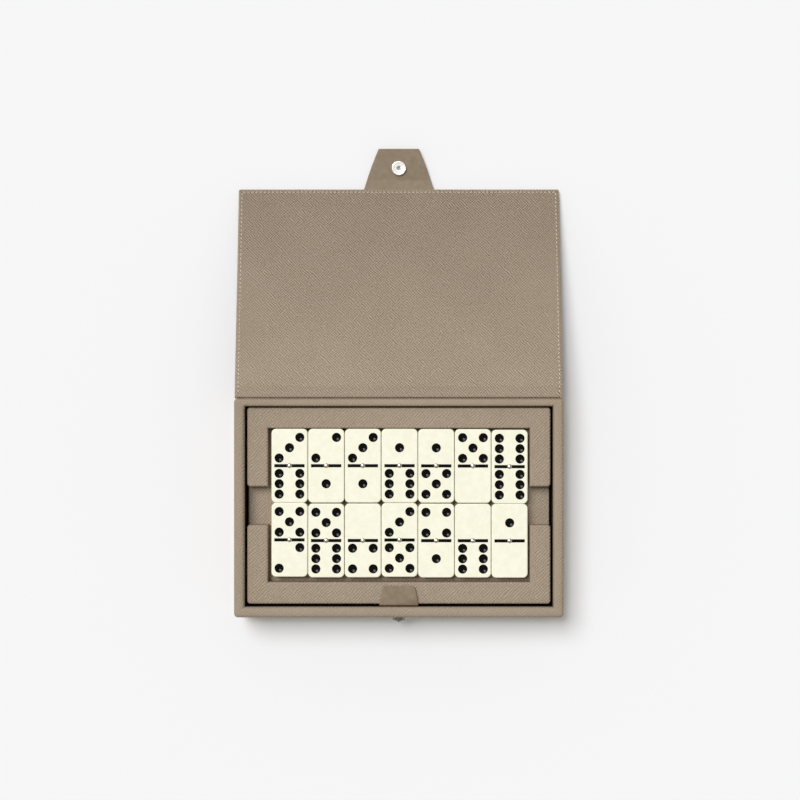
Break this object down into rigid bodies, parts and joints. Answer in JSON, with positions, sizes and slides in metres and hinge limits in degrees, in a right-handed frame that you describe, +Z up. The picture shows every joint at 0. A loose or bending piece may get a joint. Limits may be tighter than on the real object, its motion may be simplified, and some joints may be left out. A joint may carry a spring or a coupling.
{
  "type": "domino storage box",
  "caption": "Leather-covered storage box for a set of dominoes, with a folding lid, a clasp flap and a lift-out tray over a second layer.",
  "frame": {"origin": "centre of the base's underside, on the surface that the box stands on", "axes": "+X to the right as seen from the front, +Y from the front with the clasp to the hinge, +Z up"},
  "size_m": [0.2246, 0.3276, 0.0337],
  "materials": {
    "grained_leather": "cross-grained calf leather, semi-matte",
    "smooth_leather": "smooth calf leather, semi-matte",
    "suede": "black suede",
    "base_felt": "black felt",
    "board": "sanded medium-density fibreboard",
    "clasp_metal": "polished nickel plate",
    "ivory_resin": "polished cast resin with black glossy pips"
  },
  "bodies": {
    "box": {"base_felt": "base_felt", "base_board": "board", "front_wall": "board", "rear_wall": "board", "left_wall": "board", "right_wall": "board", "box_leather": "grained_leather", "wall_suede": "suede", "floor_suede": "suede", "well_rear_frame": "grained_leather", "well_front_frame": "grained_leather", "hinge_strip": "grained_leather", "clasp_stud": "clasp_metal", "stud_washer": "clasp_metal", "tile_0_0": "ivory_resin", "tile_0_2": "ivory_resin", "tile_0_3": "ivory_resin", "tile_1_1": "ivory_resin", "tile_2_2": "ivory_resin", "tile_2_3": "ivory_resin", "tile_2_4": "ivory_resin", "tile_2_6": "ivory_resin", "tile_3_3": "ivory_resin", "tile_3_4": "ivory_resin", "tile_4_4": "ivory_resin", "tile_4_5": "ivory_resin", "tile_4_6": "ivory_resin", "tile_5_5": "ivory_resin"},
    "lid": {"lid_board": "board", "lid_leather": "grained_leather", "lid_lining": "grained_leather", "flap_root": "smooth_leather"},
    "flap": {"flap_leather": "grained_leather", "flap_lining": "smooth_leather", "clasp_socket": "clasp_metal", "clasp_magnet": "clasp_metal", "socket_washer": "clasp_metal"},
    "tray": {"tray_suede": "suede", "tray_board": "board", "tray_floor": "grained_leather", "tray_rear_core": "board", "tray_front_core": "board", "tray_rear_leather": "grained_leather", "tray_front_leather": "grained_leather", "tab_anchor": "smooth_leather"},
    "pull_tab": {"pull_tab": "smooth_leather"},
    "tile_3_6": {"tile_3_6": "ivory_resin"},
    "tile_2_1": {"tile_2_1": "ivory_resin"},
    "tile_3_1": {"tile_3_1": "ivory_resin"},
    "tile_1_6": {"tile_1_6": "ivory_resin"},
    "tile_1_5": {"tile_1_5": "ivory_resin"},
    "tile_5_0": {"tile_5_0": "ivory_resin"},
    "tile_6_6": {"tile_6_6": "ivory_resin"},
    "tile_5_2": {"tile_5_2": "ivory_resin"},
    "tile_5_6": {"tile_5_6": "ivory_resin"},
    "tile_0_4": {"tile_0_4": "ivory_resin"},
    "tile_3_5": {"tile_3_5": "ivory_resin"},
    "tile_4_1": {"tile_4_1": "ivory_resin"},
    "tile_0_6": {"tile_0_6": "ivory_resin"},
    "tile_1_0": {"tile_1_0": "ivory_resin"}
  },
  "joints": [
    {"name": "lid_hinge", "type": "hinge", "parent": "box", "child": "lid", "pos_m": [0, 0.07505, 0.0333], "axis": [1, 0, 0], "range_deg": [0, 191.28]},
    {"name": "flap_fold", "type": "hinge", "parent": "lid", "child": "flap", "pos_m": [0, 0.22674, 0.00141], "axis": [1, 0, 0], "range_deg": [0, 75.22]},
    {"name": "tray_lift", "type": "slide", "parent": "box", "child": "tray", "axis": [0, 0, 1], "range_m": [0, 0.06]},
    {"name": "tab_fold", "type": "hinge", "parent": "tray", "child": "pull_tab", "pos_m": [0, -0.06645, 0.03015], "axis": [1, 0, 0], "range_deg": [0, 90]},
    {"name": "tile_3_6_lift", "type": "slide", "parent": "tray", "child": "tile_3_6", "axis": [0, 0, 1], "range_m": [0, 0.04]},
    {"name": "tile_2_1_lift", "type": "slide", "parent": "tray", "child": "tile_2_1", "axis": [0, 0, 1], "range_m": [0, 0.04]},
    {"name": "tile_3_1_lift", "type": "slide", "parent": "tray", "child": "tile_3_1", "axis": [0, 0, 1], "range_m": [0, 0.04]},
    {"name": "tile_1_6_lift", "type": "slide", "parent": "tray", "child": "tile_1_6", "axis": [0, 0, 1], "range_m": [0, 0.04]},
    {"name": "tile_1_5_lift", "type": "slide", "parent": "tray", "child": "tile_1_5", "axis": [0, 0, 1], "range_m": [0, 0.04]},
    {"name": "tile_5_0_lift", "type": "slide", "parent": "tray", "child": "tile_5_0", "axis": [0, 0, 1], "range_m": [0, 0.04]},
    {"name": "tile_6_6_lift", "type": "slide", "parent": "tray", "child": "tile_6_6", "axis": [0, 0, 1], "range_m": [0, 0.04]},
    {"name": "tile_5_2_lift", "type": "slide", "parent": "tray", "child": "tile_5_2", "axis": [0, 0, 1], "range_m": [0, 0.04]},
    {"name": "tile_5_6_lift", "type": "slide", "parent": "tray", "child": "tile_5_6", "axis": [0, 0, 1], "range_m": [0, 0.04]},
    {"name": "tile_0_4_lift", "type": "slide", "parent": "tray", "child": "tile_0_4", "axis": [0, 0, 1], "range_m": [0, 0.04]},
    {"name": "tile_3_5_lift", "type": "slide", "parent": "tray", "child": "tile_3_5", "axis": [0, 0, 1], "range_m": [0, 0.04]},
    {"name": "tile_4_1_lift", "type": "slide", "parent": "tray", "child": "tile_4_1", "axis": [0, 0, 1], "range_m": [0, 0.04]},
    {"name": "tile_0_6_lift", "type": "slide", "parent": "tray", "child": "tile_0_6", "axis": [0, 0, 1], "range_m": [0, 0.04]},
    {"name": "tile_1_0_lift", "type": "slide", "parent": "tray", "child": "tile_1_0", "axis": [0, 0, 1], "range_m": [0, 0.04]}
  ]
}
